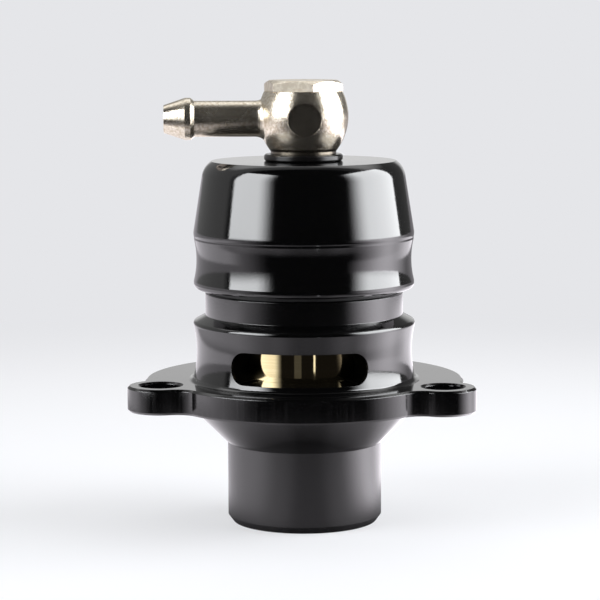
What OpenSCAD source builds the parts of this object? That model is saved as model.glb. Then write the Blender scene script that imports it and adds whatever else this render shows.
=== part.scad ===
// Blow off valve: a flanged body with a vent slot, a screw cap, a sprung brass piston behind the slot
// and a swivelling banjo hose fitting. The valve's axis is Z. The origin is on that axis at the
// spigot's open end, the vent slot faces -Y and the hose barb points about to -X.

/* [Spigot] */
// Outside diameter of the spigot that plugs into the charge pipe
spigot_d = 25; // [23.5:0.5:28]
// Height of the spigot's straight wall, from its open end to the cone
spigot_h = 13; // [8:0.1:20]
// Chamfer at the spigot's open end, along the radius
spigot_chamfer = 0.8; // [0.2:0.1:1.2]
// Height of the cone between the spigot and the flange
cone_h = 6.2; // [4:0.1:7]
// Diameter of the inlet bore, up to the piston's seat
inlet_d = 20; // [17:0.5:20.5]

/* [Flange] */
// Thickness of the flange
flange_t = 4.1; // [3:0.1:7]
// Radius of the flange's sides and back
flange_r = 25.85; // [24.5:0.05:27]
// Radius of the flange's front, between the lugs
flange_front_r = 22; // [21:0.1:23.5]
// Distance of each bolt hole from the valve's axis
bolt_r = 24.05; // [23.5:0.05:27]
// Angle of each bolt hole from the front
bolt_angle = 69.5; // [55:0.5:85]
// Diameter of the bolt holes
bolt_hole_d = 6.6; // [4:0.1:7]
// Radius of the round lug about each bolt hole
lug_r = 5.3; // [4.8:0.05:6.5]
// Fillet between each lug and the flange's front
lug_front_fillet = 3.5; // [1.5:0.1:5]
// Fillet between each lug and the flange's sides
lug_back_fillet = 1; // [0.5:0.1:2]
// Chamfer along the flange's edges
flange_chamfer = 0.35; // [0.1:0.05:0.6]

/* [Body] */
// Diameter of the body's rim
body_d = 35.9; // [35:0.1:38]
// Height of the body, from the flange's top to the rim's lower edge
body_h = 9; // [8.4:0.1:12]
// Depth of the body's concave waist
waist_depth = 0.5; // [0.2:0.05:1]
// Fillet at the body's foot
foot_fillet = 1; // [0.5:0.1:1]
// Diameter of the plain neck below the cap
neck_d = 32; // [31.5:0.1:33]
// Height of the plain neck
neck_h = 3.75; // [2.5:0.05:6]
// Height of the vent slot
slot_h = 5.1; // [3:0.1:6]
// Angle from the slot's centre to each of its round ends
slot_half_angle = 38; // [25:1:60]
// Bore that the piston slides in
cylinder_d = 26; // [24.5:0.1:26.6]

/* [Cap] */
// Diameter of the thread between body and cap
thread_d = 30; // [29.5:0.1:30.6]
// Length of that thread
thread_l = 7.5; // [5:0.1:9]
// Diameter of the cap at its lip
cap_d = 35.64; // [35:0.02:37]
// Height of the cap
cap_h = 20.5; // [18:0.1:26]
// Height of the cap's concave waist
cap_waist_h = 7.1; // [5:0.1:8]
// Depth of that waist
cap_waist_depth = 0.45; // [0.2:0.05:0.8]
// Radius of the cap's flat top
cap_flat_r = 14.87; // [14:0.01:15.2]
// Thickness of the cap's top
cap_top_t = 4.5; // [3.5:0.1:6]
// Open gap between the neck and the cap's lip
cap_gap = 0.55; // [0.3:0.05:1]

/* [Piston] */
// Height of the piston above the slot's upper edge
piston_over = 10.25; // [9.5:0.05:11]
// Thickness of the piston's floor
piston_floor_t = 4; // [3:0.1:6]
// Bore of the spring cup in the piston
cup_d = 20.4; // [18:0.1:20.6]
// Diameter of the spring's wire
wire_d = 1.6; // [1.2:0.1:1.8]
// Turns of the spring
spring_turns = 6.5; // [4:0.5:6.5]

/* [Hose fitting] */
// Diameter of the banjo bolt's shank
bolt_d = 8; // [6:0.5:8]
// Width across the flats of the bolt's head
hex_af = 11.4; // [10.5:0.1:12]
// Height of the bolt's head
hex_h = 1.75; // [1.5:0.05:5]
// Largest diameter of the round banjo
banjo_d = 14.48; // [13.6:0.02:16]
// Height of the round banjo, above its foot
banjo_h = 9.6; // [9:0.1:11]
// Diameter of the sealing washer under the banjo
washer_d = 12.7; // [11.5:0.1:16]
// Thickness of that washer
washer_t = 1.1; // [0.8:0.1:2]
// Angle that the banjo is turned by, from the barb along -X
banjo_turn = 5; // [-180:1:180]
// Distance of the barb's tip from the valve's axis
barb_reach = 22.4; // [18:0.1:30]
// Diameter of the barb's stem
barb_stem_d = 5.8; // [5:0.1:6.2]
// Diameter over the barb
barb_d = 6.8; // [6.4:0.1:8]
// Bore of the barb
barb_bore_d = 3.2; // [2:0.1:3.4]

/* [Hidden] */
$fn = 96;

black = "#141416";
rubber = "#1d1d1f";
brass = "#c9a656";
nickel = "#c9c3b4";
steel = "#8d9196";

// Radial clearance of what slides or turns, and of what is screwed or set in place
run_gap = 0.05;
fit_gap = 0.03;
// Cutters reach this far past the faces that they cut
past = 1;
// Fillets run this far into the curves that they join
blend = 0.02;

// Radii
spigot_r = spigot_d / 2;
inlet_r = inlet_d / 2;
body_r = body_d / 2;
neck_r = neck_d / 2;
thread_r = thread_d / 2;
cylinder_r = cylinder_d / 2;
cap_r = cap_d / 2;
bolt_shank_r = bolt_d / 2;

// Heights of the body, from the spigot's open end up
spigot_chamfer_h = 1.35 * spigot_chamfer;
flange_z = spigot_h + cone_h;
flange_top = flange_z + flange_t;
slot_z = flange_top + foot_fillet + 0.1;
slot_mid_z = slot_z + slot_h / 2;
rim_z = flange_top + body_h;
rim_band_h = 0.15;
rim_round = 0.6;
rim_slope = 28;
neck_z = rim_z + rim_band_h + rim_round * cos(rim_slope)
         + (body_r - rim_round * (1 - sin(rim_slope)) - neck_r) * tan(rim_slope);
neck_top = neck_z + neck_h;
neck_chamfer = 0.2;
cap_z = neck_top + cap_gap;
thread_top = cap_z + thread_l;
thread_chamfer = 0.4;
floor_z = slot_z - 0.7;

// Concave waists: a chord of height h and depth d
function waist_radius(h, d) = (h * h / 4 + d * d) / (2 * d);
body_waist_h = body_h - 0.6;
body_waist_r = waist_radius(body_waist_h, waist_depth);
cap_waist_r = waist_radius(cap_waist_h, cap_waist_depth);

// Cap
lip_round = 0.75;
lip_h = 1.2;
shoulder_round = 2.5;
shoulder_low = -14.5;
taper = 9;
corner_r = 3.4;
corner_end = 57;
cap_top = cap_z + cap_h;
cap_waist_z = cap_z + lip_h;
shoulder_z = cap_waist_z + cap_waist_h - shoulder_round * sin(shoulder_low);
shoulder_x = cap_r - shoulder_round;
corner_x = cap_flat_r - corner_r * cos(corner_end);
corner_z = cap_top - corner_r * sin(corner_end);
cap_ceiling = cap_top - cap_top_t;
cap_room_r = cylinder_r + 0.4;
seal_groove_h = 1.1;
seal_w = 0.7;

// Piston
piston_z = floor_z + run_gap;
piston_r = cylinder_r - run_gap;
piston_top = slot_z + slot_h + piston_over;
piston_edge = 0.3;
cup_floor = piston_z + piston_floor_t;
dish_r = inlet_r - 2;
dish_depth = 1.2;
seat_seal_d = 1.2;
seat_groove_w = 1.3;
seat_mid_r = (inlet_r + piston_r) / 2;
oring_d = 1.6;
oring_groove_h = 2;
oring_z = slot_z + slot_h + 2.2 + oring_groove_h / 2;
guide_h = 2.4;
guide_t = 1.1;
guide_z = oring_z + oring_groove_h / 2 + 1.4;

// Spring
spring_r = cup_d / 2 - 0.5 - wire_d / 2;
spring_z = cup_floor;
spring_h = cap_ceiling - cup_floor;
spring_steps = 24;
wire_sides = 10;

// Hose fitting
foot_h = 0.45;
foot_r = washer_d / 2 - 1.05;
washer_top = cap_top + washer_t;
banjo_z = washer_top + foot_h;
banjo_top = banjo_z + banjo_h;
banjo_r = banjo_d / 2;
banjo_round = 9;
banjo_mid = banjo_z + 5.6;
barb_z = banjo_z + 5.2;
spot_r = 2.7;
spot_depth = 0.6;
gallery_r = bolt_shank_r + 1.2;
gallery_h = 4;
banjo_seal_r = bolt_shank_r + 1.3;
banjo_seal_h = 1.1;
barb_tip_r = barb_bore_d / 2 + 0.65;
barb_cone_l = 3.4;
barb_crest_l = 0.9;
barb_back_l = 0.6;
barb_root_fillet = 1.8;
bolt_end = cap_ceiling - 1;
bolt_bore_r = 1.75;
cross_hole_r = 1.4;

// Points of an arc about (x, z) of radius r, from angle a to angle b
function arc(x, z, r, a, b, n) = [for (i = [0:n]) let (t = a + (b - a) * i / n) [x + r * cos(t), z + r * sin(t)]];

// Place of a bolt hole, left (-1) or right (1) of the front
function bolt_place(side) = bolt_r * [side * sin(bolt_angle), -cos(bolt_angle)];

// Centre of the fillet circle, radius f, between a circle about the axis and a lug
function fillet_centre(disc_r, side, turn, f) =
    let (a = disc_r + f - blend,
         b = lug_r + f - blend,
         lug_dir = -90 + side * bolt_angle,
         swing = acos((a * a + bolt_r * bolt_r - b * b) / (2 * a * bolt_r)))
    a * [cos(lug_dir + turn * swing), sin(lug_dir + turn * swing)];

// Ring of square section
module ring(r_in, r_out, h) {
    rotate_extrude() translate([r_in, 0]) square([r_out - r_in, h]);
}

// Disc with both edges chamfered
module edged_disc(r, h, c) {
    rotate_extrude() polygon([[0, 0], [r - c, 0], [r, c], [r, h - c], [r - c, h], [0, h]]);
}

// Cutter for a hole of height h with both mouths chamfered
module edged_hole(r, h, c) {
    rotate_extrude() polygon([[0, -past], [r + c + past, -past], [r, c], [r, h - c],
                              [r + c + past, h + past], [0, h + past]]);
}

// Concave fillet between a disc about the axis and a lug
module lug_web(disc_r, side, turn, f) {
    centre = fillet_centre(disc_r, side, turn, f);
    difference() {
        linear_extrude(flange_t) polygon([[0, 0], bolt_place(side), centre]);
        translate(centre) edged_hole(f, flange_t, flange_chamfer);
    }
}

// Flange with its two lugs, solid
module flange() {
    reach = 2 * flange_r;
    edged_disc(flange_front_r, flange_t, flange_chamfer);
    intersection() {
        edged_disc(flange_r, flange_t, flange_chamfer);
        linear_extrude(flange_t)
            polygon([[0, 0], 2 * bolt_place(1), [reach, reach], [-reach, reach], 2 * bolt_place(-1)]);
    }
    for (side = [-1, 1]) {
        translate(bolt_place(side)) edged_disc(lug_r, flange_t, flange_chamfer);
        lug_web(flange_front_r, side, -side, lug_front_fillet);
        lug_web(flange_r, side, side, lug_back_fillet);
    }
}

// Turned outline of the body, solid
module body_outline() {
    rim_x = body_r - rim_round;
    rim_edge = rim_z + rim_band_h;
    cone_x = spigot_r + cone_h;
    waist_x = body_r - waist_depth + body_waist_r;
    waist_mid = rim_z - body_waist_h / 2;
    foot_z = flange_top + foot_fillet;
    foot_x = waist_x - sqrt(pow(body_waist_r, 2) - pow(foot_z - waist_mid, 2));
    difference() {
        polygon(concat(
            [[0, 0], [spigot_r - spigot_chamfer, 0], [spigot_r, spigot_chamfer_h], [spigot_r, spigot_h],
             [cone_x, flange_z], [cone_x, flange_top - past / 2], [body_r, flange_top - past / 2]],
            arc(rim_x, rim_edge, rim_round, 0, 90 - rim_slope, 5),
            [[neck_r, neck_z], [neck_r, neck_top - neck_chamfer], [neck_r - neck_chamfer, neck_top],
             [thread_r, neck_top], [thread_r, thread_top - thread_chamfer],
             [thread_r - thread_chamfer, thread_top], [0, thread_top]]));
        intersection() {
            translate([waist_x, waist_mid]) circle(body_waist_r, $fn = 360);
            translate([0, flange_top]) square([waist_x, body_h + rim_band_h]);
        }
    }
    difference() {
        translate([inlet_r + 4, flange_top - past / 2]) square([foot_x + foot_fillet - inlet_r - 4, foot_fillet + past / 2]);
        translate([foot_x + foot_fillet, foot_z]) circle(foot_fillet);
    }
}

// Vent slot, milled through the wall and around the front with round ends
module slot_cutter() {
    mill_angle = slot_half_angle - asin(slot_h / 2 / (body_r - waist_depth));
    inner_r = cylinder_r - past;
    depth = body_r + past - inner_r;
    rotate(-90 - mill_angle) rotate_extrude(angle = 2 * mill_angle)
        translate([inner_r, slot_z]) square([depth, slot_h]);
    for (side = [-1, 1])
        rotate(-90 + side * mill_angle) translate([inner_r, 0, slot_mid_z]) rotate([0, 90, 0])
            cylinder(r = slot_h / 2 - blend, h = depth);
}

module valve_body() {
    color(black) difference() {
        union() {
            rotate_extrude() body_outline();
            translate([0, 0, flange_z]) flange();
        }
        translate([0, 0, -past]) cylinder(r = inlet_r, h = floor_z + 2 * past);
        translate([0, 0, floor_z]) cylinder(r = cylinder_r, h = thread_top);
        slot_cutter();
        for (side = [-1, 1])
            translate([each bolt_place(side), flange_z]) edged_hole(bolt_hole_d / 2, flange_t, flange_chamfer);
    }
}

// Turned outline of the cap, solid
module cap_outline() {
    waist_mid = cap_waist_z + cap_waist_h / 2;
    corner_low = corner_z + corner_r * sin(taper);
    corner_out = corner_x + corner_r * cos(taper);
    taper_x = corner_out - (cap_top - corner_low) * tan(taper);
    intersection() {
        difference() {
            polygon(concat(
                [[0, cap_z]],
                arc(cap_r - lip_round, cap_z + lip_round, lip_round, -90, 0, 6),
                arc(shoulder_x, shoulder_z, shoulder_round, shoulder_low, taper, 5),
                [[corner_out, corner_low], [taper_x, cap_top], [0, cap_top]]));
            intersection() {
                translate([cap_r - cap_waist_depth + cap_waist_r, waist_mid]) circle(cap_waist_r, $fn = 360);
                translate([0, cap_waist_z - 0.1]) square([cap_r + past, cap_waist_h + 0.2]);
            }
        }
        union() {
            translate([corner_x, corner_z]) circle(corner_r, $fn = 180);
            square([cap_r + past, corner_low]);
            square([corner_x, cap_top]);
        }
    }
}

module cap() {
    color(black) difference() {
        rotate_extrude() cap_outline();
        translate([0, 0, cap_z - past]) cylinder(r = thread_r + seal_w + fit_gap, h = seal_groove_h + past);
        translate([0, 0, cap_z]) cylinder(r = thread_r + fit_gap, h = thread_l);
        translate([0, 0, cap_z]) cylinder(r = cap_room_r, h = cap_ceiling - cap_z);
        translate([0, 0, cap_z]) cylinder(r = bolt_shank_r + fit_gap, h = cap_h + past);
    }
}

module cap_seal() {
    color(rubber) translate([0, 0, neck_top])
        ring(thread_r + fit_gap, thread_r + seal_w, cap_gap + seal_groove_h);
}

module piston() {
    groove_in = piston_r - oring_d - fit_gap;
    color(brass) rotate_extrude() difference() {
        polygon([[0, piston_z + dish_depth], [dish_r - dish_depth, piston_z + dish_depth], [dish_r, piston_z],
                 [piston_r - piston_edge, piston_z], [piston_r, piston_z + piston_edge],
                 [piston_r, piston_top - piston_edge], [piston_r - piston_edge, piston_top], [0, piston_top]]);
        translate([0, cup_floor]) square([cup_d / 2, piston_top]);
        translate([groove_in, oring_z - oring_groove_h / 2]) square([oring_d + past, oring_groove_h]);
        translate([piston_r - guide_t - fit_gap, guide_z]) square([guide_t + past, guide_h + 2 * fit_gap]);
        translate([seat_mid_r - seat_groove_w / 2, piston_z - past])
            square([seat_groove_w, past + seat_seal_d + fit_gap]);
    }
}

// O-ring of wire diameter d that reaches out to radius r
module oring(r, d) {
    rotate_extrude() translate([r - d / 2, 0]) circle(d / 2);
}

module piston_seal() {
    color(rubber) translate([0, 0, oring_z]) oring(piston_r, oring_d);
}

module guide_ring() {
    color("#e8e4d8") translate([0, 0, guide_z]) ring(piston_r - guide_t, piston_r, guide_h);
}

module seat_seal() {
    color(rubber) translate([0, 0, piston_z + seat_seal_d / 2]) oring(seat_mid_r + seat_seal_d / 2, seat_seal_d);
}

// Height of the wire's centre after a share t of the turns: closed end coils with open coils between
function wire_lift(t) =
    let (closed = 1 / spring_turns,
         dead = wire_d * 1.03,
         open = spring_h - wire_d - 2 * dead)
    t < closed ? dead * t / closed
    : t > 1 - closed ? spring_h - wire_d - dead * (1 - t) / closed
    : dead + open * (t - closed) / (1 - 2 * closed);

function wire_ring(t) =
    let (turn = 360 * spring_turns * t, mid = spring_z + wire_d / 2 + wire_lift(t))
    [for (k = [0:wire_sides - 1])
        let (a = 360 * (k + 0.5) / wire_sides, r = spring_r + wire_d / 2 * cos(a))
        [r * cos(turn), r * sin(turn), mid + wire_d / 2 * sin(a)]];

module spring() {
    steps = ceil(spring_steps * spring_turns);
    points = [for (i = [0:steps]) each wire_ring(i / steps)];
    start = [for (k = [0:wire_sides - 1]) k];
    end = [for (k = [wire_sides - 1:-1:0]) steps * wire_sides + k];
    sides = [for (i = [0:steps - 1], k = [0:wire_sides - 1])
        let (a = i * wire_sides, b = a + wire_sides, n = (k + 1) % wire_sides)
        [a + k, b + k, b + n, a + n]];
    color(steel) polyhedron(points, concat([start], sides, [end]), convexity = 10);
}

module lower_washer() {
    c = 0.25;
    color(rubber) translate([0, 0, cap_top]) difference() {
        edged_disc(washer_d / 2, washer_t, c);
        translate([0, 0, -past]) cylinder(r = bolt_shank_r + 0.1, h = washer_t + 2 * past);
    }
}

// Hose barb along -X, solid
module barb() {
    tip_z = barb_reach;
    crest_z = tip_z - barb_cone_l;
    crest_end = crest_z - barb_crest_l;
    root_x = barb_stem_d / 2 + barb_root_fillet;
    root_z = sqrt(pow(banjo_r + barb_root_fillet, 2) - root_x * root_x) - 0.05;
    root_angle = 180 + atan(root_z / root_x);
    translate([0, 0, barb_z]) rotate([0, -90, 0]) rotate_extrude() polygon(concat(
        [[0, bolt_shank_r + past], [root_x + barb_root_fillet * cos(root_angle), bolt_shank_r + past]],
        arc(root_x, root_z, barb_root_fillet, root_angle, 180, 5),
        [[barb_stem_d / 2, crest_end - barb_back_l], [barb_d / 2, crest_end], [barb_d / 2, crest_z],
         [barb_tip_r, tip_z], [0, tip_z]]));
}

module banjo_fitting() {
    color(nickel) rotate(banjo_turn) difference() {
        union() {
            rotate_extrude() intersection() {
                translate([banjo_r - banjo_round, banjo_mid]) circle(banjo_round, $fn = 180);
                translate([0, banjo_z]) square([banjo_r + past, banjo_h]);
            }
            translate([0, 0, washer_top]) cylinder(r = foot_r, h = foot_h + past);
            barb();
        }
        translate([0, 0, washer_top - past]) cylinder(r = bolt_shank_r + run_gap, h = banjo_h + foot_h + 2 * past);
        translate([0, 0, barb_z - gallery_h / 2]) cylinder(r = gallery_r, h = gallery_h);
        translate([0, 0, banjo_top - banjo_seal_h]) cylinder(r = banjo_seal_r + fit_gap, h = banjo_seal_h + past);
        translate([0, 0, barb_z]) rotate([0, -90, 0]) cylinder(d = barb_bore_d, h = barb_reach + past);
        translate([0, spot_depth - banjo_r, barb_z]) rotate([90, 0, 0]) cylinder(r = spot_r, h = spot_depth + past);
    }
}

module banjo_seal() {
    color(rubber) translate([0, 0, banjo_top - banjo_seal_h])
        ring(bolt_shank_r + run_gap, banjo_seal_r, banjo_seal_h);
}

module banjo_bolt() {
    corner = hex_af / 2 / cos(30);
    chamfer = corner - hex_af / 2 + 0.25;
    color(nickel) difference() {
        union() {
            translate([0, 0, banjo_top]) intersection() {
                rotate(-90 + 16.5) cylinder(r = corner, h = hex_h, $fn = 6);
                rotate_extrude() polygon([[0, -past], [corner + past, -past],
                                          [corner + past, hex_h - (chamfer + past) * tan(30)],
                                          [corner - chamfer, hex_h], [0, hex_h]]);
            }
            translate([0, 0, bolt_end]) cylinder(r = bolt_shank_r, h = banjo_top - bolt_end + 0.2);
        }
        translate([0, 0, bolt_end - past]) cylinder(r = bolt_bore_r, h = barb_z + cross_hole_r + 0.5 - bolt_end + past);
        translate([0, 0, barb_z]) rotate([0, 90, 0]) cylinder(r = cross_hole_r, h = 3 * bolt_shank_r, center = true);
    }
}

valve_body();
cap();
cap_seal();
piston();
piston_seal();
guide_ring();
seat_seal();
spring();
lower_washer();
banjo_fitting();
banjo_seal();
banjo_bolt();
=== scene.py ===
"""Blow off valve: the finishes of its turned parts, its coil spring and a small studio around it."""

import logging
import math
from dataclasses import dataclass, field
from enum import Enum
from typing import Any, Optional, Union

import bpy
from mathutils import Matrix, Vector


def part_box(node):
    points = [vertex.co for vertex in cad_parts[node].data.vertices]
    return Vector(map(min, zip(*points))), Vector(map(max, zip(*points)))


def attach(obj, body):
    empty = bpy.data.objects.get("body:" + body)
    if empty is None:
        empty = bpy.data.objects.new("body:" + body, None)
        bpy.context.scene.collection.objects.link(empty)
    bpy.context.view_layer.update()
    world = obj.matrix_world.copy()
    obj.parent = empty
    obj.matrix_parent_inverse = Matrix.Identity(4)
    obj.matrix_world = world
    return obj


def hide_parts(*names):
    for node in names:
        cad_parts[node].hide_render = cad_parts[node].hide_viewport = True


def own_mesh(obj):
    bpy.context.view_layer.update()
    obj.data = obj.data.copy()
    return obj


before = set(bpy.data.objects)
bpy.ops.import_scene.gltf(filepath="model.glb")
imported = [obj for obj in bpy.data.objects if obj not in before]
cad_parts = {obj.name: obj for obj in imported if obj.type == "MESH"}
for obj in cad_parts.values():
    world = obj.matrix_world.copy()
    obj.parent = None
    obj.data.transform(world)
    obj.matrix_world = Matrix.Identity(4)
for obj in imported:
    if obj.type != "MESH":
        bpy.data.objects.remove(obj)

LOG = logging.getLogger("blow_off_valve")
MM = 0.001

Colour = tuple[float, float, float]
Span = tuple[float, float]
Socket = bpy.types.NodeSocket
Input = Union[Socket, float]
Tone = Union[Socket, Colour]
Setting = Union[Socket, float, tuple[float, ...], None]
Group = tuple["Nodes", bpy.types.NodeOutputs, bpy.types.NodeInputs]

# The backdrop's tone, and the brightness of the room on the camera's side.
BACKDROP: Colour = (0.785, 0.79, 0.815)
DARK_ROOM = 0.008

# The lower end of a height band that starts below the whole valve.
BELOW_ALL = -1.0

# Places of the colour sockets in a Mix node, whose other sockets have the same names.
MIX_FIRST = 6
MIX_SECOND = 7
MIX_RESULT = 2


class Effect(Enum):
    """Surface effects that the finishes share."""

    CORE = "close to the axis"
    GRAIN = "fine grain"
    TURNING = "turning marks"
    MILLING = "milling marks"
    BAND = "height band"


class Nodes:
    """Adds and joins the nodes of one shader tree."""

    def __init__(self, tree: bpy.types.NodeTree) -> None:
        """Empties the tree and keeps it to be filled."""
        self.tree = tree
        tree.nodes.clear()

    def add(self, kind: str, **settings: Any) -> bpy.types.Node:
        """Adds one node.

        Args:
            kind: The node's type name.
            settings: Properties that are set on the node.

        Returns:
            The new node.
        """
        node = self.tree.nodes.new(kind)
        for name, value in settings.items():
            setattr(node, name, value)
        return node

    def put(self, value: Setting, socket: Socket) -> None:
        """Links a socket to an input, or sets the input's own value.

        Args:
            value: A socket to link, a plain value to set, or nothing.
            socket: The input.
        """
        if isinstance(value, Socket):
            self.tree.links.new(value, socket)
        elif value is not None:
            socket.default_value = value

    def math(self, operation: str, a: Input, b: Optional[Input] = None, clamp: bool = False) -> Socket:
        """Adds a math node.

        Args:
            operation: The node's operation.
            a: First value.
            b: Second value, if the operation has one.
            clamp: Whether the result stays within 0 and 1.

        Returns:
            The result's socket.
        """
        node = self.add("ShaderNodeMath", operation=operation, use_clamp=clamp)
        self.put(a, node.inputs[0])
        self.put(b, node.inputs[1])
        return node.outputs[0]

    def distance(self, a: Input, b: Input) -> Socket:
        """Gives a point's distance from an axis, from its two places across that axis."""
        square = self.math("ADD", self.math("MULTIPLY", a, a), self.math("MULTIPLY", b, b))
        return self.math("SQRT", square)

    def ramp(self, value: Input, low: Input, high: Input, start: float = 0.0, end: float = 1.0) -> Socket:
        """Adds a smooth step.

        Args:
            value: What is mapped.
            low: Value at which the step starts.
            high: Value at which the step ends.
            start: Result below the step.
            end: Result above the step.

        Returns:
            The result's socket.
        """
        node = self.add("ShaderNodeMapRange", interpolation_type="SMOOTHSTEP")
        for socket, item in zip(node.inputs[:5], (value, low, high, start, end)):
            self.put(item, socket)
        return node.outputs[0]

    def mix(self, factor: Input, a: Tone, b: Tone) -> Socket:
        """Adds a colour mix.

        Args:
            factor: Share of the second colour.
            a: First colour or its socket.
            b: Second colour or its socket.

        Returns:
            The mixed colour's socket.
        """
        node = self.add("ShaderNodeMix", data_type="RGBA")
        self.put(factor, node.inputs[0])
        self.put(opaque(a), node.inputs[MIX_FIRST])
        self.put(opaque(b), node.inputs[MIX_SECOND])
        return node.outputs[MIX_RESULT]

    def blend(self, share: Input, a: bpy.types.Node, b: bpy.types.Node) -> Socket:
        """Mixes two shaders.

        Args:
            share: Share of the second shader.
            a: First shader.
            b: Second shader.

        Returns:
            The mixed shader's socket.
        """
        node = self.add("ShaderNodeMixShader")
        self.put(share, node.inputs[0])
        self.put(a.outputs[0], node.inputs[1])
        self.put(b.outputs[0], node.inputs[2])
        return node.outputs[0]

    def noise(self, vector: Socket, scale: Input, detail: float = 2.0) -> Socket:
        """Adds a noise texture.

        Args:
            vector: Its coordinates.
            scale: Its scale, per metre.
            detail: Its octaves.

        Returns:
            The noise's value socket.
        """
        node = self.add("ShaderNodeTexNoise")
        self.put(vector, node.inputs["Vector"])
        self.put(scale, node.inputs["Scale"])
        self.put(detail, node.inputs["Detail"])
        return node.outputs[0]

    def split(self, vector: Socket) -> tuple[Socket, ...]:
        """Splits a vector.

        Args:
            vector: The vector's socket.

        Returns:
            The sockets of its X, Y and Z.
        """
        node = self.add("ShaderNodeSeparateXYZ")
        self.put(vector, node.inputs[0])
        return tuple(node.outputs)

    def place(self) -> tuple[Socket, ...]:
        """Gives the object's own X, Y and Z."""
        return self.split(self.add("ShaderNodeTexCoord").outputs["Object"])

    def vector(self, x: Input, y: Input, z: Input) -> Socket:
        """Joins three values into a vector.

        Args:
            x: Its first value.
            y: Its second value.
            z: Its third value.

        Returns:
            The vector's socket.
        """
        node = self.add("ShaderNodeCombineXYZ")
        for socket, item in zip(node.inputs, (x, y, z)):
            self.put(item, socket)
        return node.outputs[0]

    def shaped(self, effect: Effect, **values: Input) -> bpy.types.Node:
        """Places a shared effect.

        Args:
            effect: The effect's group.
            values: Values of the group's inputs.

        Returns:
            The group's node.
        """
        node = self.add("ShaderNodeGroup", node_tree=bpy.data.node_groups[effect.value])
        for name, value in values.items():
            self.put(value, node.inputs[name])
        return node

    def band(self, low: float, high: float) -> Socket:
        """Masks what lies between two heights."""
        return self.shaped(Effect.BAND, Low=low, High=high).outputs["Mask"]


def opaque(colour: Tone) -> Setting:
    """Gives a plain colour its fourth value, and leaves a socket as it is."""
    return (*colour, 1.0) if isinstance(colour, tuple) else colour


@dataclass(frozen=True)
class SharedEffects:
    """Builds the node groups that the finishes share.

    A span gives the noise values between which a mark's tone goes from none to full.
    """

    grain_span: Span = (0.35, 0.65)
    grain_detail: float = 3.0
    drift_span: Span = (0.3, 0.7)
    ring_span: Span = (0.35, 0.65)
    ring_detail: float = 1.0
    streak_span: Span = (0.4, 0.75)
    streak_stretch: float = 0.02
    mask_fade: float = 0.2 * MM

    def group(self, effect: Effect, inputs: dict[str, float], outputs: list[str]) -> Group:
        """Makes an empty group with its sockets.

        Args:
            effect: The group's name.
            inputs: Names and default values of its inputs.
            outputs: Names of its outputs.

        Returns:
            The group's nodes, its input sockets and its output sockets.
        """
        tree = bpy.data.node_groups.new(effect.value, "ShaderNodeTree")
        for name, value in inputs.items():
            socket = tree.interface.new_socket(name, in_out="INPUT", socket_type="NodeSocketFloat")
            socket.default_value = value
        for name in outputs:
            tree.interface.new_socket(name, in_out="OUTPUT", socket_type="NodeSocketFloat")
        nodes = Nodes(tree)
        return nodes, nodes.add("NodeGroupInput").outputs, nodes.add("NodeGroupOutput").inputs

    def grain(self) -> None:
        """Fine grain of a blasted or plated skin, with a slow drift over the whole surface."""
        values = {"Fine": 2500.0, "Slow": 90.0}
        nodes, given, result = self.group(Effect.GRAIN, values, ["Tone", "Drift", "Height"])
        place = nodes.add("ShaderNodeTexCoord").outputs["Object"]
        fine = nodes.noise(place, given["Fine"], self.grain_detail)
        slow = nodes.noise(place, given["Slow"])
        nodes.put(nodes.ramp(fine, *self.grain_span), result["Tone"])
        nodes.put(nodes.ramp(slow, *self.drift_span), result["Drift"])
        nodes.put(fine, result["Height"])

    def turning(self) -> None:
        """Rings that a lathe tool leaves around the valve's axis."""
        nodes, given, result = self.group(Effect.TURNING, {"Marks": 5000.0}, ["Tone", "Height"])
        across, back, high = nodes.place()
        around = nodes.vector(nodes.distance(across, back), 0.0, high)
        rings = nodes.noise(around, given["Marks"], self.ring_detail)
        nodes.put(nodes.ramp(rings, *self.ring_span), result["Tone"])
        nodes.put(rings, result["Height"])

    def milling(self) -> None:
        """Upright marks that an end mill leaves around an edge."""
        nodes, given, result = self.group(Effect.MILLING, {"Marks": 2200.0}, ["Tone", "Height"])
        across, back, high = nodes.place()
        upright = nodes.vector(across, back, nodes.math("MULTIPLY", high, self.streak_stretch))
        streaks = nodes.noise(upright, given["Marks"])
        nodes.put(nodes.ramp(streaks, *self.streak_span), result["Tone"])
        nodes.put(streaks, result["Height"])

    def band(self) -> None:
        """Mask of what lies between two heights."""
        values = {"Low": 0.0, "High": 10.0 * MM, "Fade": self.mask_fade}
        nodes, given, result = self.group(Effect.BAND, values, ["Mask"])
        high = nodes.place()[2]
        foot = nodes.math("SUBTRACT", given["Low"], given["Fade"])
        head = nodes.math("ADD", given["High"], given["Fade"])
        above = nodes.ramp(high, foot, given["Low"])
        below = nodes.ramp(high, given["High"], head, 1.0, 0.0)
        nodes.put(nodes.math("MULTIPLY", above, below), result["Mask"])

    def core(self) -> None:
        """Mask of what lies closer to the valve's axis than a radius."""
        values = {"Radius": 10.0 * MM, "Fade": self.mask_fade}
        nodes, given, result = self.group(Effect.CORE, values, ["Mask"])
        across, back = nodes.place()[:2]
        past = nodes.math("ADD", given["Radius"], given["Fade"])
        inside = nodes.ramp(nodes.distance(across, back), given["Radius"], past, 1.0, 0.0)
        nodes.put(inside, result["Mask"])

    def build(self) -> None:
        """Builds every shared effect once."""
        self.core()
        self.grain()
        self.turning()
        self.milling()
        self.band()


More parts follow.
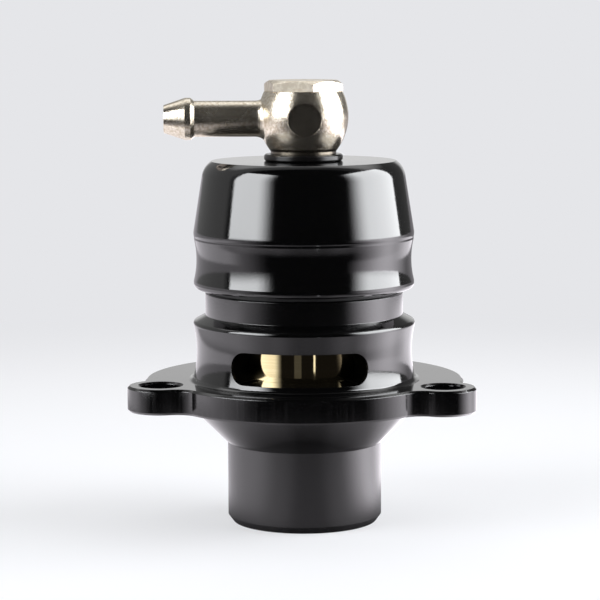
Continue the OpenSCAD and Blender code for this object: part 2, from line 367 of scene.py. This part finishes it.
@dataclass(frozen=True)
class Finish:
    """A finish with a fine grain: two close tones, a gloss that drifts and softened edges."""

    name: str
    tone: Colour
    second_tone: Colour
    roughness: float
    roughness_spread: float
    metallic: float = 0.0
    ior: float = 1.5
    grain: float = 2500.0
    grain_depth: float = 1.0e-6
    edge_radius: float = 0.12 * MM
    edge_samples: int = 6

    def start(self) -> tuple[Nodes, bpy.types.Node, bpy.types.Material]:
        """Makes the material with its Principled shader.

        Returns:
            The material's nodes, the shader node and the material.
        """
        material = bpy.data.materials.new(self.name)
        material.use_nodes = True
        nodes = Nodes(material.node_tree)
        shader = nodes.add("ShaderNodeBsdfPrincipled")
        shader.inputs["Metallic"].default_value = self.metallic
        shader.inputs["IOR"].default_value = self.ior
        out = nodes.add("ShaderNodeOutputMaterial")
        nodes.put(shader.outputs[0], out.inputs["Surface"])
        return nodes, shader, material

    def normal(self, nodes: Nodes, height: Socket, depth: float) -> Socket:
        """Softens the edges and lays fine marks over the surface.

        Args:
            nodes: The material's nodes.
            height: Height of the marks, from 0 to 1.
            depth: Depth of the marks, in metres.

        Returns:
            The normal's socket.
        """
        edge = nodes.add("ShaderNodeBevel", samples=self.edge_samples)
        edge.inputs["Radius"].default_value = self.edge_radius
        bump = nodes.add("ShaderNodeBump")
        bump.inputs["Distance"].default_value = depth
        bump.inputs["Strength"].default_value = 1.0
        nodes.put(height, bump.inputs["Height"])
        nodes.put(edge.outputs[0], bump.inputs["Normal"])
        return bump.outputs[0]

    def gloss(self, nodes: Nodes, middle: Input, drift: Socket) -> Socket:
        """Spreads the roughness about its middle value.

        Args:
            nodes: The material's nodes.
            middle: The middle roughness.
            drift: Where the surface is rougher, from 0 to 1.

        Returns:
            The roughness socket.
        """
        about = nodes.math("SUBTRACT", drift, 0.5)
        swing = nodes.math("MULTIPLY", about, 2.0 * self.roughness_spread)
        return nodes.math("ADD", swing, middle, clamp=True)

    def build(self) -> bpy.types.Material:
        """Builds the material.

        Returns:
            The material.
        """
        nodes, shader, material = self.start()
        grain = nodes.shaped(Effect.GRAIN, Fine=self.grain).outputs
        rough = self.gloss(nodes, self.roughness, grain["Drift"])
        normal = self.normal(nodes, grain["Height"], self.grain_depth)
        nodes.put(nodes.mix(grain["Tone"], self.tone, self.second_tone), shader.inputs["Base Color"])
        nodes.put(rough, shader.inputs["Roughness"])
        nodes.put(normal, shader.inputs["Normal"])
        return material


@dataclass(frozen=True)
class TurnedFinish(Finish):
    """Bright turned metal, with the lathe's fine rings."""

    marks: float = 6000.0
    marks_depth: float = 0.6e-6

    def build(self) -> bpy.types.Material:
        """Builds the material.

        Returns:
            The material.
        """
        nodes, shader, material = self.start()
        grain = nodes.shaped(Effect.GRAIN, Fine=self.grain).outputs
        rings = nodes.shaped(Effect.TURNING, Marks=self.marks).outputs
        rough = self.gloss(nodes, self.roughness, grain["Drift"])
        normal = self.normal(nodes, rings["Height"], self.marks_depth)
        nodes.put(nodes.mix(rings["Tone"], self.tone, self.second_tone), shader.inputs["Base Color"])
        nodes.put(rough, shader.inputs["Roughness"])
        nodes.put(normal, shader.inputs["Normal"])
        return material


@dataclass(frozen=True)
class BodyFinish(Finish):
    """Gloss anodised body: satin spigot, duller neck, milled flange edge, and matt slot ends painted dark
    as shade.
    """

    satin_tone: Colour = (0.006, 0.0055, 0.006)
    satin_roughness: float = 0.25
    satin_top: float = 13.0 * MM
    neck_roughness: float = 0.15
    neck_low: float = 33.9 * MM
    neck_high: float = 37.45 * MM
    flange_low: float = 19.4 * MM
    flange_high: float = 23.1 * MM
    wall_roughness: float = 0.6
    wall_low: float = 24.7 * MM
    wall_high: float = 29.2 * MM
    wall_radius: float = 16.9 * MM
    mill_marks: float = 2200.0
    mill_depth: float = 1.2e-6
    mill_roughness: float = 0.06

    def zones(self, nodes: Nodes, satin: Input, neck: Input, shaded_wall: Input) -> Socket:
        """Gives each zone of the body its roughness.

        Args:
            nodes: The material's nodes.
            satin: Mask of the spigot.
            neck: Mask of the neck.
            shaded_wall: Mask of the slot's ends.

        Returns:
            The roughness socket.
        """
        added = nodes.math("MULTIPLY", satin, self.satin_roughness - self.roughness)
        rough = nodes.math("ADD", added, self.roughness)
        rough = nodes.math("MAXIMUM", rough, nodes.math("MULTIPLY", neck, self.neck_roughness))
        return nodes.math("MAXIMUM", rough, nodes.math("MULTIPLY", shaded_wall, self.wall_roughness))

    def build(self) -> bpy.types.Material:
        """Builds the material.

        Returns:
            The material.
        """
        nodes, shader, material = self.start()
        grain = nodes.shaped(Effect.GRAIN, Fine=self.grain).outputs
        streaks = nodes.shaped(Effect.MILLING, Marks=self.mill_marks).outputs
        satin = nodes.band(BELOW_ALL, self.satin_top)
        neck = nodes.band(self.neck_low, self.neck_high)
        flange = nodes.band(self.flange_low, self.flange_high)
        inside = nodes.shaped(Effect.CORE, Radius=self.wall_radius).outputs["Mask"]
        shaded_wall = nodes.math("MULTIPLY", nodes.band(self.wall_low, self.wall_high), inside)
        gloss_tone = nodes.mix(grain["Tone"], self.tone, self.second_tone)
        nodes.put(nodes.mix(satin, gloss_tone, self.satin_tone), shader.inputs["Base Color"])
        # Painted shade: the slot's ends are made a black metal that mirrors next to nothing, so they stay
        # as dark as the shade inside the slot.
        nodes.put(shaded_wall, shader.inputs["Metallic"])
        milled = nodes.math("MULTIPLY", flange, streaks["Tone"])
        added = nodes.math("MULTIPLY", milled, self.mill_roughness)
        rough = nodes.math("ADD", self.zones(nodes, satin, neck, shaded_wall), added)
        nodes.put(self.gloss(nodes, rough, grain["Drift"]), shader.inputs["Roughness"])
        fine = nodes.math("MULTIPLY", grain["Height"], self.grain_depth / self.mill_depth)
        coarse = nodes.math("MULTIPLY", flange, streaks["Height"])
        height = nodes.math("ADD", fine, coarse)
        nodes.put(self.normal(nodes, height, self.mill_depth), shader.inputs["Normal"])
        return material


@dataclass(frozen=True)
class PlatedFinish(Finish):
    """Hazy nickel plate, darkened at its foot as painted shade under the ball, with less haze in its
    front spot.
    """

    # Painted shade: the dark tone that the foot under the ball is given.
    foot_shade_tone: Colour = (0.17, 0.15, 0.12)
    foot_shade_high: float = 60.5 * MM
    spot_metallic: float = 0.985
    spot_high: float = 65.4 * MM
    spot_radius: float = 2.72 * MM
    spot_fade: float = 0.1 * MM
    spot_turn: float = math.radians(5.0)
    front_span: Span = (-1.0 * MM, 0.0)

    def spot(self, nodes: Nodes) -> Socket:
        """Masks the round spot on the banjo's front.

        Args:
            nodes: The material's nodes.

        Returns:
            The mask's socket.
        """
        across, back, high = nodes.place()
        along = nodes.math("MULTIPLY", across, math.cos(self.spot_turn))
        sideways = nodes.math("ADD", along, nodes.math("MULTIPLY", back, math.sin(self.spot_turn)))
        upward = nodes.math("SUBTRACT", high, self.spot_high)
        past = self.spot_radius + self.spot_fade
        inside = nodes.ramp(nodes.distance(sideways, upward), self.spot_radius, past, 1.0, 0.0)
        front = nodes.ramp(back, *self.front_span, 1.0, 0.0)
        return nodes.math("MULTIPLY", inside, front)

    def build(self) -> bpy.types.Material:
        """Builds the material.

        Returns:
            The material.
        """
        nodes, shader, material = self.start()
        grain = nodes.shaped(Effect.GRAIN, Fine=self.grain).outputs
        # Painted shade: the foot, under the ball and above the cap, is mixed towards a dark tone.
        foot = nodes.band(BELOW_ALL, self.foot_shade_high)
        plate = nodes.mix(grain["Tone"], self.tone, self.second_tone)
        metallic = nodes.ramp(self.spot(nodes), 0.0, 1.0, self.metallic, self.spot_metallic)
        rough = self.gloss(nodes, self.roughness, grain["Drift"])
        normal = self.normal(nodes, grain["Height"], self.grain_depth)
        nodes.put(nodes.mix(foot, plate, self.foot_shade_tone), shader.inputs["Base Color"])
        nodes.put(metallic, shader.inputs["Metallic"])
        nodes.put(rough, shader.inputs["Roughness"])
        nodes.put(normal, shader.inputs["Normal"])
        return material


GLOSS_BLACK: dict[str, Any] = {
    "tone": (0.0009, 0.0009, 0.0010),
    "second_tone": (0.0014, 0.0014, 0.0015),
    "roughness": 0.09,
    "roughness_spread": 0.015,
    "ior": 1.9,
    "grain": 3000.0,
    "grain_depth": 4.0e-6,
}

SEAL_RUBBER: dict[str, Any] = {
    "tone": (0.010, 0.010, 0.010),
    "second_tone": (0.016, 0.016, 0.016),
    "roughness_spread": 0.08,
    "grain_depth": 6.0e-6,
}


@dataclass
class Housing:
    """Body, cap, seal, washer and banjo bolt, with the coil spring inside the cap.

    The pitch of the spring's closed end coils is given in wire radii.
    """

    black_body: BodyFinish = BodyFinish("gloss_black_body", **GLOSS_BLACK)
    black_cap: Finish = Finish("gloss_black_cap", **GLOSS_BLACK)
    rubber: Finish = Finish("cap_seal_rubber", roughness=0.55, **SEAL_RUBBER)
    washer: Finish = Finish(
        "black_sealing_washer", (0.004, 0.004, 0.004), (0.008, 0.007, 0.007), 0.2, 0.05,
        edge_radius=0.2 * MM)
    nickel: Finish = Finish(
        "bright_nickel_bolt", (0.85, 0.78, 0.66), (0.71, 0.63, 0.51), 0.37, 0.06,
        metallic=0.96, grain=1600.0, grain_depth=1.2e-5)
    spring_steel: Finish = Finish(
        "spring_steel_wire", (0.50, 0.51, 0.53), (0.40, 0.41, 0.43), 0.3, 0.06, metallic=1.0)
    spring_turns: float = 6.5
    closed_pitch: float = 2.06
    wire_radius: float = 0.8 * MM
    wire_sides: int = 14
    turn_steps: int = 36
    weld_distance: float = 0.01 * MM
    smooth_angle: float = math.radians(50.0)

    def dress(self) -> None:
        """Gives the CAD nodes of the housing their finishes."""
        paint("valve_body", self.black_body.build())
        paint("cap", self.black_cap.build())
        paint("cap_seal", self.rubber.build())
        paint("lower_washer", self.washer.build())
        paint("banjo_bolt", self.nickel.build())

    def wire_start(self, radius: float, height: float, turn: float) -> bpy.types.Object:
        """Adds the wire's round section at the start of a stretch of coils.

        Args:
            radius: Mean radius of the coils.
            height: Height of the section's centre.
            turn: Angle of the section about the axis.

        Returns:
            The section's object.
        """
        bpy.ops.object.select_all(action="DESELECT")
        bpy.ops.mesh.primitive_circle_add(
            vertices=self.wire_sides,
            radius=self.wire_radius,
            location=(radius * math.cos(turn), radius * math.sin(turn), height),
            rotation=(math.pi / 2, 0.0, turn))
        bpy.ops.object.transform_apply(location=True, rotation=True, scale=True)
        return bpy.context.object

    def wind(self, section: bpy.types.Object, turns: float, rise: float) -> None:
        """Winds a stretch of coils from its section.

        Args:
            section: The wire's section.
            turns: Turns of the stretch.
            rise: Height gained over the stretch.
        """
        coil = section.modifiers.new("coil", "SCREW")
        coil.axis = "Z"
        coil.angle = math.tau * turns
        coil.screw_offset = rise
        coil.steps = round(self.turn_steps * turns)
        coil.render_steps = coil.steps
        bpy.ops.object.modifier_apply(modifier=coil.name)

    def wind_stretches(self, low: Vector, high: Vector) -> list[bpy.types.Object]:
        """Winds a closed coil, the open coils and another closed coil, from the foot up.

        Args:
            low: Lowest corner of the spring's box.
            high: Highest corner of the spring's box.

        Returns:
            The three stretches.
        """
        radius = high.x - self.wire_radius
        closed = self.closed_pitch * self.wire_radius
        open_turns = self.spring_turns - 2.0
        open_rise = high.z - low.z - 2.0 * self.wire_radius - 2.0 * closed
        turned = 0.0
        height = low.z + self.wire_radius
        stretches = []
        for turns, rise in ((1.0, closed), (open_turns, open_rise), (1.0, closed)):
            stretch = self.wire_start(radius, height, math.tau * turned)
            self.wind(stretch, turns, rise)
            stretches.append(stretch)
            turned += turns
            height += rise
        return stretches

    def join_wire(self, stretches: list[bpy.types.Object]) -> bpy.types.Object:
        """Joins the stretches into one wire with closed ends.

        Args:
            stretches: The stretches, from the foot up.

        Returns:
            The wire.
        """
        bpy.ops.object.select_all(action="DESELECT")
        for stretch in stretches:
            stretch.select_set(True)
        bpy.context.view_layer.objects.active = stretches[0]
        bpy.ops.object.join()
        wire = bpy.context.object
        wire.name = "coil_spring"
        bpy.ops.object.mode_set(mode="EDIT")
        bpy.ops.mesh.select_all(action="SELECT")
        bpy.ops.mesh.remove_doubles(threshold=self.weld_distance)
        bpy.ops.mesh.fill_holes(sides=self.wire_sides)
        bpy.ops.mesh.select_all(action="SELECT")
        bpy.ops.mesh.normals_make_consistent(inside=False)
        bpy.ops.object.mode_set(mode="OBJECT")
        bpy.ops.object.shade_smooth_by_angle(angle=self.smooth_angle)
        return wire

    def build_spring(self) -> bpy.types.Object:
        """Builds the spring between the piston's cup and the cap's ceiling.

        Returns:
            The spring.
        """
        low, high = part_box("spring")
        spring = self.join_wire(self.wind_stretches(low, high))
        spring.data.materials.clear()
        spring.data.materials.append(self.spring_steel.build())
        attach(spring, "housing")
        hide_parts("spring")
        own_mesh(spring)
        return spring


@dataclass
class PistonSet:
    """Brass piston with its seals and guide ring."""

    brass: TurnedFinish = TurnedFinish(
        "polished_brass", (0.80, 0.66, 0.39), (0.74, 0.60, 0.34), 0.06, 0.01, metallic=1.0)
    rubber: Finish = Finish("piston_seal_rubber", roughness=0.5, **SEAL_RUBBER)
    guide: Finish = Finish(
        "guide_ring_plastic", (0.80, 0.77, 0.70), (0.74, 0.71, 0.64), 0.45, 0.05, grain_depth=4.0e-6)

    def dress(self) -> None:
        """Gives the CAD nodes of the piston their finishes."""
        paint("piston", self.brass.build())
        seal = self.rubber.build()
        paint("piston_seal", seal)
        paint("seat_seal", seal)
        paint("guide_ring", self.guide.build())


@dataclass
class BanjoSet:
    """Round banjo with its hose barb and upper seal."""

    nickel: PlatedFinish = PlatedFinish(
        "bright_nickel_banjo", (0.85, 0.78, 0.66), (0.66, 0.575, 0.45), 0.19, 0.09,
        metallic=0.96, grain=2300.0, grain_depth=2.2e-5)
    rubber: Finish = Finish("banjo_seal_rubber", roughness=0.5, **SEAL_RUBBER)

    def dress(self) -> None:
        """Gives the CAD nodes of the banjo their finishes."""
        paint("banjo_fitting", self.nickel.build())
        paint("banjo_seal", self.rubber.build())


@dataclass(frozen=True)
class SoftBox:
    """Upright light panel, by the azimuths that it takes up as seen from the valve.

    Its light falls off between two shares of its width, and rises between two shares of its height.
    """

    name: str
    from_azimuth: float
    to_azimuth: float
    radiance: float
    foot: float = 30.0 * MM
    tall: float = 551.0 * MM
    distance: float = 500.0 * MM
    start_share: float = 1.0
    end_share: float = 1.0
    falloff_from: float = 0.0
    falloff_to: float = 1.0
    rise_from: float = -2.0
    rise_to: float = -1.0
    mirrored_only: bool = False
    tint: Colour = (0.965, 0.98, 1.0)

    def shade(self, lamp: bpy.types.AreaLight) -> None:
        """Lays the falloff over the light, across from its lower azimuth and up from its foot.

        Args:
            lamp: The light.
        """
        lamp.use_nodes = True
        nodes = Nodes(lamp.node_tree)
        across, up = nodes.split(nodes.add("ShaderNodeNewGeometry").outputs["Parametric"])[:2]
        share = nodes.ramp(across, self.falloff_from, self.falloff_to, self.start_share, self.end_share)
        rise = nodes.ramp(up, self.rise_from, self.rise_to)
        glow = nodes.add("ShaderNodeEmission")
        nodes.put(nodes.math("MULTIPLY", share, rise), glow.inputs["Strength"])
        nodes.put(glow.outputs[0], nodes.add("ShaderNodeOutputLight").inputs["Surface"])

    def build(self) -> None:
        """Adds the light, turned towards the valve's axis."""
        middle = math.radians((self.from_azimuth + self.to_azimuth) / 2)
        half = math.radians(abs(self.to_azimuth - self.from_azimuth) / 2)
        width = 2.0 * self.distance * math.tan(half)
        lamp = bpy.data.lights.new(self.name, "AREA")
        lamp.shape = "RECTANGLE"
        lamp.size = width
        lamp.size_y = self.tall
        lamp.color = self.tint
        lamp.energy = self.radiance * math.pi * width * self.tall
        self.shade(lamp)
        panel = bpy.data.objects.new(self.name, lamp)
        bpy.context.scene.collection.objects.link(panel)
        outward = Vector((math.sin(middle), -math.cos(middle), 0.0))
        panel.location = outward * self.distance + Vector((0.0, 0.0, self.foot + self.tall / 2))
        panel.rotation_mode = "QUATERNION"
        panel.rotation_quaternion = (-outward).to_track_quat("-Z", "Y")
        panel.visible_camera = False
        panel.visible_diffuse = not self.mirrored_only


@dataclass(frozen=True)
class FloorPatch:
    """Part of the floor as the valve mirrors it, by its azimuths and its distances from the valve."""

    level: float
    from_azimuth: float = -200.0
    to_azimuth: float = 200.0
    from_radius: float = -1.0
    to_radius: float = 9.0
    azimuth_soft: float = 0.5
    near_soft: float = 10.0 * MM
    far_soft: float = 25.0 * MM

    def light(self, nodes: Nodes, azimuth: Input, radius: Input) -> Socket:
        """Gives the patch's brightness, which is nothing outside it.

        Args:
            nodes: The floor's nodes.
            azimuth: Azimuth of the shaded point, in degrees from the front.
            radius: Distance of the shaded point from the valve's axis.

        Returns:
            The brightness socket.
        """
        soft = self.azimuth_soft
        left = nodes.ramp(azimuth, self.from_azimuth - soft, self.from_azimuth + soft)
        right = nodes.ramp(azimuth, self.to_azimuth - soft, self.to_azimuth + soft, 1.0, 0.0)
        near = nodes.ramp(radius, self.from_radius - self.near_soft, self.from_radius + self.near_soft)
        far = nodes.ramp(radius, self.to_radius - self.far_soft, self.to_radius + self.far_soft, 1.0, 0.0)
        wide = nodes.math("MULTIPLY", left, right)
        deep = nodes.math("MULTIPLY", near, far)
        return nodes.math("MULTIPLY", nodes.math("MULTIPLY", wide, deep), self.level)


@dataclass
class PaleFloor:
    """Pale paper that turns into the backdrop further out, with patches of light in mirrors."""

    near_tone: Colour = (0.98, 0.985, 1.0)
    far_tone: Colour = BACKDROP
    paper_tone: Colour = (0.90, 0.905, 0.935)
    paper_roughness: float = 0.6
    paper_specular: float = 0.2
    mirrored_tone: Colour = (1.0, 0.96, 1.02)
    mirrored_least: float = DARK_ROOM
    own_glow: float = 0.515
    fade: Span = (40.0 * MM, 260.0 * MM)
    size: float = 6.0
    patches: list[FloorPatch] = field(default_factory=lambda: [
        FloorPatch(0.24, from_radius=14.0 * MM, to_radius=115.0 * MM, near_soft=5.0 * MM),
        FloorPatch(0.26, to_azimuth=-14.0, from_radius=17.0 * MM, to_radius=115.0 * MM,
                   azimuth_soft=12.0),
        FloorPatch(0.25, from_azimuth=32.0, from_radius=17.0 * MM, to_radius=115.0 * MM,
                   azimuth_soft=12.0),
        FloorPatch(0.6, to_azimuth=-50.0, from_radius=25.0 * MM, azimuth_soft=20.0),
        FloorPatch(0.7, to_azimuth=-72.0, from_radius=140.0 * MM, to_radius=320.0 * MM,
                   azimuth_soft=12.0),
        FloorPatch(2.9, from_azimuth=78.0, to_azimuth=118.0, from_radius=27.0 * MM,
                   to_radius=200.0 * MM, azimuth_soft=28.0),
        FloorPatch(3.0, from_azimuth=70.0, to_azimuth=120.0, from_radius=200.0 * MM,
                   azimuth_soft=24.0, near_soft=25.0 * MM),
        FloorPatch(0.35, from_azimuth=125.0, from_radius=30.0 * MM, azimuth_soft=15.0),
        FloorPatch(1.6, from_azimuth=125.0, from_radius=35.0 * MM, to_radius=310.0 * MM,
                   azimuth_soft=15.0),
    ])

    def mirrored(self, nodes: Nodes, azimuth: Input, radius: Input) -> Socket:
        """Adds up the patches of the floor that the valve mirrors.

        Args:
            nodes: The floor's nodes.
            azimuth: Azimuth of the shaded point, in degrees from the front.
            radius: Distance of the shaded point from the valve's axis.

        Returns:
            The brightness socket.
        """
        total = self.patches[0].light(nodes, azimuth, radius)
        for patch in self.patches[1:]:
            total = nodes.math("ADD", total, patch.light(nodes, azimuth, radius))
        return nodes.math("MAXIMUM", total, self.mirrored_least)

    def material(self) -> bpy.types.Material:
        """Makes the floor's material, which has a glow of its own and is darker in mirrors.

        Returns:
            The material.
        """
        material = bpy.data.materials.new("studio_floor")
        material.use_nodes = True
        nodes = Nodes(material.node_tree)
        paper = nodes.add("ShaderNodeBsdfPrincipled")
        paper.inputs["Base Color"].default_value = opaque(self.paper_tone)
        paper.inputs["Roughness"].default_value = self.paper_roughness
        paper.inputs["Specular IOR Level"].default_value = self.paper_specular
        across, back = nodes.place()[:2]
        radius = nodes.distance(across, back)
        turn = nodes.math("ARCTAN2", across, nodes.math("MULTIPLY", back, -1.0))
        azimuth = nodes.math("DEGREES", turn)
        tone = nodes.mix(nodes.ramp(radius, *self.fade), self.near_tone, self.far_tone)
        path = nodes.add("ShaderNodeLightPath").outputs
        mirror = path["Is Glossy Ray"]
        direct = nodes.math("MAXIMUM", path["Is Camera Ray"], path["Is Transmission Ray"])
        glow = nodes.add("ShaderNodeEmission")
        nodes.put(nodes.mix(mirror, tone, self.mirrored_tone), glow.inputs["Color"])
        beyond = nodes.math("SUBTRACT", self.mirrored(nodes, azimuth, radius), 1.0)
        strength = nodes.math("ADD", nodes.math("MULTIPLY", mirror, beyond), 1.0)
        nodes.put(strength, glow.inputs["Strength"])
        share = nodes.math("MULTIPLY", direct, nodes.ramp(radius, *self.fade, self.own_glow, 1.0))
        lit = nodes.blend(nodes.math("MAXIMUM", share, mirror), paper, glow)
        nodes.put(lit, nodes.add("ShaderNodeOutputMaterial").inputs["Surface"])
        return material

    def build(self) -> None:
        """Adds the floor under the spigot."""
        bpy.ops.object.select_all(action="DESELECT")
        bpy.ops.mesh.primitive_plane_add(size=self.size, location=(0.0, 0.0, 0.0))
        floor = bpy.context.object
        floor.name = "studio_floor"
        floor.data.materials.append(self.material())


@dataclass
class Room:
    """Room around the valve: pale behind it, dim at its sides and dark on the camera's side.

    A span gives the shares of a direction between which a part of the room begins and is full.
    """

    seen_tone: Colour = BACKDROP
    lit_tone: Colour = (1.0, 1.0, 1.0)
    front: float = DARK_ROOM
    left: float = 0.33
    right: float = 0.12
    rear: float = 0.85
    top: float = 1.3
    flank_span: Span = (-0.3, 0.3)
    side_span: Span = (-0.12, 0.02)
    rear_span: Span = (0.9, 0.985)
    top_span: Span = (0.5, 0.8)
    top_back_span: Span = (0.1, 0.35)

    def level(self, nodes: Nodes) -> Socket:
        """Gives the room's brightness in each direction.

        Args:
            nodes: The room's nodes.

        Returns:
            The brightness socket.
        """
        across, back, high = nodes.split(nodes.add("ShaderNodeTexCoord").outputs["Generated"])
        flank = nodes.ramp(across, *self.flank_span, self.left, self.right)
        side = nodes.math("MULTIPLY", nodes.ramp(back, *self.side_span), flank)
        side = nodes.math("MAXIMUM", side, self.front)
        rear = nodes.ramp(back, *self.rear_span, 0.0, self.rear)
        above = nodes.ramp(high, *self.top_span, 0.0, self.top)
        above = nodes.math("MULTIPLY", above, nodes.ramp(back, *self.top_back_span))
        return nodes.math("MAXIMUM", nodes.math("MAXIMUM", side, rear), above)

    def build(self) -> None:
        """Makes the room the scene's world, with a plain backdrop for the camera."""
        world = bpy.data.worlds.new("studio_room")
        world.use_nodes = True
        bpy.context.scene.world = world
        nodes = Nodes(world.node_tree)
        seen = nodes.add("ShaderNodeBackground")
        seen.inputs["Color"].default_value = opaque(self.seen_tone)
        lit = nodes.add("ShaderNodeBackground")
        lit.inputs["Color"].default_value = opaque(self.lit_tone)
        nodes.put(self.level(nodes), lit.inputs["Strength"])
        camera_ray = nodes.add("ShaderNodeLightPath").outputs["Is Camera Ray"]
        room = nodes.blend(camera_ray, lit, seen)
        nodes.put(room, nodes.add("ShaderNodeOutputWorld").inputs["Surface"])


@dataclass
class PhotoCamera:
    """Camera at the photograph's angle, aimed beside the valve's axis."""

    azimuth: float = 3.2
    pitch: float = 6.985
    roll: float = -0.22
    distance: float = 376.0 * MM
    lens: float = 139.15
    sensor_width: float = 36.0
    clip_start: float = 10.0 * MM
    target_height: float = 36.02 * MM
    target_shift: float = 0.65 * MM

    def build(self) -> None:
        """Adds the camera and makes it the scene's own."""
        turn = math.radians(self.azimuth)
        pitch = math.radians(self.pitch)
        level = math.cos(pitch)
        back = Vector((math.sin(turn) * level, -math.cos(turn) * level, math.sin(pitch)))
        right = Vector((math.cos(turn), math.sin(turn), 0.0))
        target = Vector((0.0, 0.0, self.target_height)) - right * self.target_shift
        data = bpy.data.cameras.new("photo_camera")
        data.lens = self.lens
        data.sensor_width = self.sensor_width
        data.clip_start = self.clip_start
        camera = bpy.data.objects.new("photo_camera", data)
        bpy.context.scene.collection.objects.link(camera)
        aim = (-back).to_track_quat("-Z", "Y").to_matrix().to_4x4()
        roll = Matrix.Rotation(math.radians(self.roll), 4, "Z")
        camera.matrix_world = Matrix.Translation(target + back * self.distance) @ aim @ roll
        bpy.context.scene.camera = camera


@dataclass
class Studio:
    """Camera, room, pale floor, two soft boxes, and three small cards that show only in mirrors."""

    camera: PhotoCamera = field(default_factory=PhotoCamera)
    room: Room = field(default_factory=Room)
    floor: PaleFloor = field(default_factory=PaleFloor)
    lights: list[SoftBox] = field(default_factory=lambda: [
        SoftBox("left_soft_box", -80.0, -28.0, 5.8, end_share=0.0, falloff_from=0.58,
                rise_from=-0.06, rise_to=0.22),
        SoftBox("right_soft_box", 50.0, 121.0, 6.5, start_share=0.0, falloff_from=0.02,
                falloff_to=0.41, rise_from=-0.15, rise_to=0.1),
        SoftBox("white_card", -62.0, -26.5, 1.2, foot=17.3 * MM, tall=5.2 * MM, distance=60.0 * MM,
                end_share=0.05, falloff_from=0.72, mirrored_only=True),
        SoftBox("dim_card", -9.5, -0.5, 0.07, foot=17.3 * MM, tall=5.2 * MM, distance=60.0 * MM,
                mirrored_only=True),
        SoftBox("thin_gap", 14.9, 17.1, 1.5, foot=18.9 * MM, tall=3.8 * MM, distance=60.0 * MM,
                mirrored_only=True),
    ])

    def build(self) -> None:
        """Builds the whole studio."""
        bpy.context.scene.view_settings.view_transform = "Standard"
        self.camera.build()
        self.room.build()
        self.floor.build()
        for light in self.lights:
            light.build()


def paint(node: str, material: bpy.types.Material) -> None:
    """Gives a CAD node its finish.

    Args:
        node: The node's name.
        material: The finish.
    """
    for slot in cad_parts[node].material_slots:
        slot.material = material
    LOG.info("finished %s with %s", node, material.name)


def clear_start_scene() -> None:
    """Removes what Blender's own start scene holds."""
    for name in ("Cube", "Light", "Camera"):
        if name in bpy.data.objects:
            bpy.data.objects.remove(bpy.data.objects[name])


def main() -> None:
    """Builds the studio and every finish."""
    logging.basicConfig(level=logging.INFO, format="%(message)s")
    clear_start_scene()
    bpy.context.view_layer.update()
    SharedEffects().build()
    Studio().build()
    housing = Housing()
    housing.dress()
    spring = housing.build_spring()
    LOG.info("wound %s, %d faces", spring.name, len(spring.data.polygons))
    PistonSet().dress()
    BanjoSet().dress()


if __name__ == "__main__":
    main()
